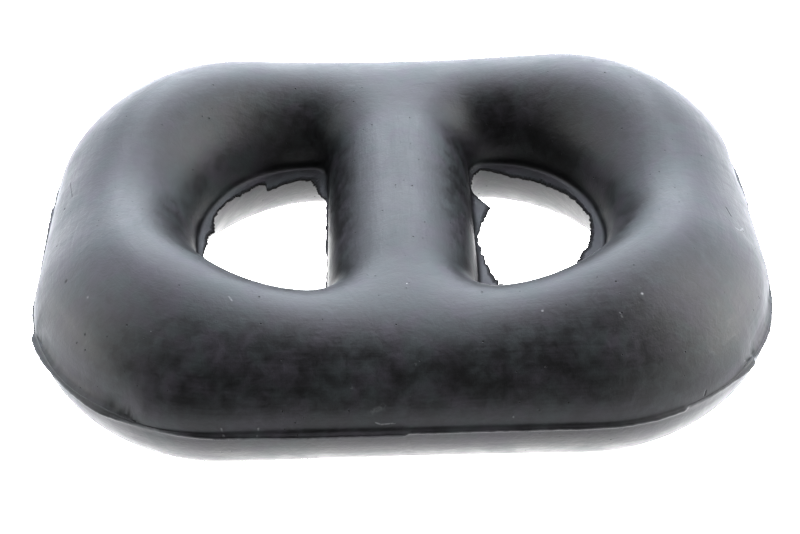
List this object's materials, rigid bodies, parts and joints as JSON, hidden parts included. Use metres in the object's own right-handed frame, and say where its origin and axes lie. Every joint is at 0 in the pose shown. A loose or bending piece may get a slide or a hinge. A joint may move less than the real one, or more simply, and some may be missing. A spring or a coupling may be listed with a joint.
{
  "type": "exhaust hanger rubber",
  "caption": "Moulded rubber ring with a cross bar and D-shaped eyes; it hangs an exhaust from the car body's hook rods and takes up its shake.",
  "frame": {"origin": "middle of the cross bar on the parting plane, which is the centre of the part's box", "axes": "+X along the ring through both eyes, +Y across the ring along the bar, +Z through the thickness along the hook rods"},
  "size_m": [0.0704, 0.0548, 0.019],
  "materials": {
    "black_rubber": "satin, slightly streaked, with light bloom and small specks"
  },
  "bodies": {
    "root": {"hanger_rubber": "black_rubber"}
  },
  "joints": []
}
